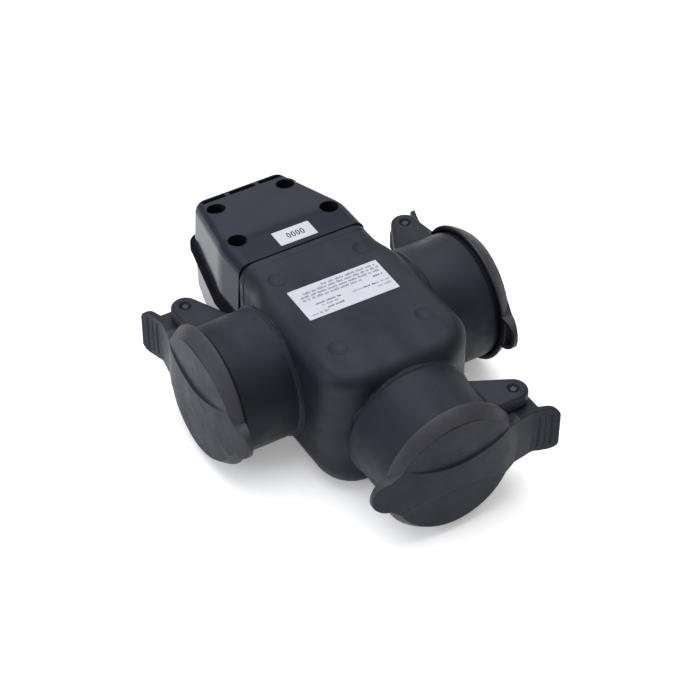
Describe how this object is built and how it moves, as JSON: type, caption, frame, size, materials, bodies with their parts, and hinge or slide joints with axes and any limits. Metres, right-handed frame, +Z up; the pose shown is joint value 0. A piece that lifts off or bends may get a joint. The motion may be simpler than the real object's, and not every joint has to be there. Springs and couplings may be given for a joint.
{
  "type": "portable power distribution box",
  "caption": "T-shaped rubber trailing socket block with sprung flip lids over round earthed sockets and a screwed plastic terminal box at the cord end.",
  "frame": {"origin": "centre of the flat underside of the rubber body, on the plane the block rests on, in line with the two side socket axes", "axes": "+X towards the right socket seen from above with the cord end away, +Y towards the terminal box and cord entry, +Z up out of the face with the screws and labels"},
  "size_m": [0.1368, 0.188, 0.0622],
  "materials": {
    "black_rubber": "matte",
    "lid_plastic": "fine grain",
    "box_plastic": "gloss",
    "insert_plastic": "satin",
    "gland_plastic": "satin",
    "block_plastic": "satin",
    "soft_rubber": "matte",
    "steel": "zinc plated",
    "black_steel": "blackened",
    "brass": "bright",
    "label": "printed film"
  },
  "bodies": {
    "housing": {"rubber_body": "black_rubber", "left_hinge_pin": "black_steel", "left_socket_insert": "insert_plastic", "left_contacts": "brass", "left_earth_clip": "brass", "right_hinge_pin": "black_steel", "right_socket_insert": "insert_plastic", "right_contacts": "brass", "right_earth_clip": "brass", "front_hinge_pin": "black_steel", "front_socket_insert": "insert_plastic", "front_contacts": "brass", "front_earth_clip": "brass", "live_busbar": "brass", "earth_busbar": "brass", "neutral_busbar": "brass", "chassis_base": "insert_plastic", "chassis_cover": "insert_plastic", "chassis_screws": "steel", "terminal_cover": "box_plastic", "terminal_base": "box_plastic", "box_gasket": "soft_rubber", "cover_screws": "black_steel", "gland_body": "gland_plastic", "gland_locknut": "gland_plastic", "gland_seal": "soft_rubber", "gland_nut": "gland_plastic", "cable_clamp": "gland_plastic", "clamp_screws": "steel", "terminal_block": "block_plastic", "terminal_clamps": "brass", "terminal_screws": "steel", "rating_label": "label", "number_label": "label"},
    "left_lid_body": {"left_lid": "lid_plastic", "left_lid_seal": "soft_rubber", "left_lid_spring": "steel"},
    "right_lid_body": {"right_lid": "lid_plastic", "right_lid_seal": "soft_rubber", "right_lid_spring": "steel"},
    "front_lid_body": {"front_lid": "lid_plastic", "front_lid_seal": "soft_rubber", "front_lid_spring": "steel"}
  },
  "joints": [
    {"name": "left_lid_hinge", "type": "hinge", "parent": "housing", "child": "left_lid_body", "pos_m": [-0.0528, 0.0345, 0.031], "axis": [0, 0, -1], "range_deg": [0, 110], "stiffness_Nm_per_rad": 0.02, "springref_deg": -34.38},
    {"name": "right_lid_hinge", "type": "hinge", "parent": "housing", "child": "right_lid_body", "pos_m": [0.0528, 0.0345, 0.031], "axis": [0, 0, 1], "range_deg": [0, 110], "stiffness_Nm_per_rad": 0.02, "springref_deg": -34.38},
    {"name": "front_lid_hinge", "type": "hinge", "parent": "housing", "child": "front_lid_body", "pos_m": [0.0345, -0.0742, 0.031], "axis": [0, 0, 1], "range_deg": [0, 110], "stiffness_Nm_per_rad": 0.02, "springref_deg": -34.38}
  ]
}
